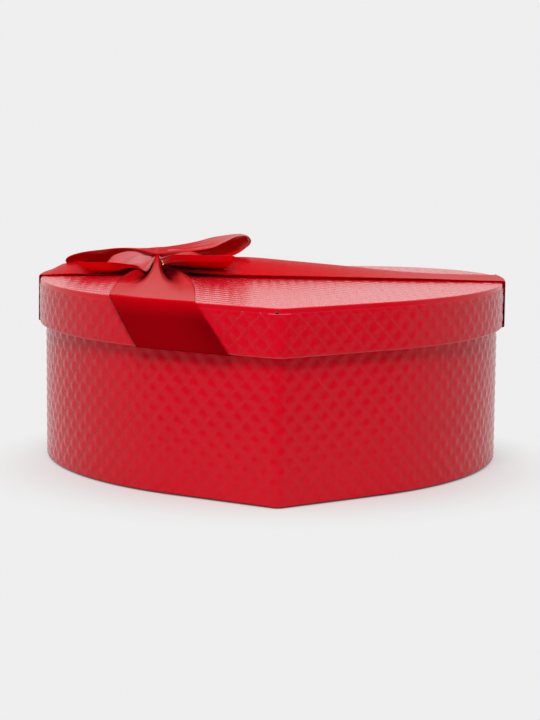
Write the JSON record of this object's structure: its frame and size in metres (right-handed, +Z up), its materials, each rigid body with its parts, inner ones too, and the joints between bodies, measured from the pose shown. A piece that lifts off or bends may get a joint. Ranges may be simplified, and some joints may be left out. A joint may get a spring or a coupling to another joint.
{
  "type": "heart gift box",
  "caption": "Heart-shaped rigid gift box with a lift-off lid, covered in red embossed paper, with crossed satin ribbons and a pinched bow on the lid.",
  "frame": {"origin": "middle of the underside, under the half depth of the base on its line of symmetry", "axes": "+Z up, +X to the right across the two lobes, the tip of the heart towards -Y"},
  "size_m": [0.2996, 0.2885, 0.138],
  "materials": {
    "grey_chipboard": "matte",
    "embossed_red_paper": "satin",
    "white_lining_paper": "matte",
    "red_base_paper": "matte",
    "red_satin_ribbon": "satin",
    "gold_tie_wire": "polished"
  },
  "bodies": {
    "base": {"base_floor_board": "grey_chipboard", "base_wall_board_left": "grey_chipboard", "base_wall_board_right": "grey_chipboard", "base_wrap_paper": "embossed_red_paper", "base_bottom_sheet": "red_base_paper", "base_floor_liner": "white_lining_paper", "base_wall_liner": "white_lining_paper"},
    "lid": {"lid_top_board": "grey_chipboard", "lid_skirt_board_left": "grey_chipboard", "lid_skirt_board_right": "grey_chipboard", "lid_top_paper": "embossed_red_paper", "lid_skirt_paper": "embossed_red_paper", "lid_top_liner": "white_lining_paper", "cross_ribbon": "red_satin_ribbon", "lengthwise_ribbon": "red_satin_ribbon", "bow_tail_ribbon": "red_satin_ribbon", "bow_loop_ribbon": "red_satin_ribbon", "twist_tie": "gold_tie_wire"}
  },
  "joints": [
    {"name": "lid_lift", "type": "slide", "parent": "base", "child": "lid", "axis": [0, 0, 1], "range_m": [0, 0.15]}
  ]
}
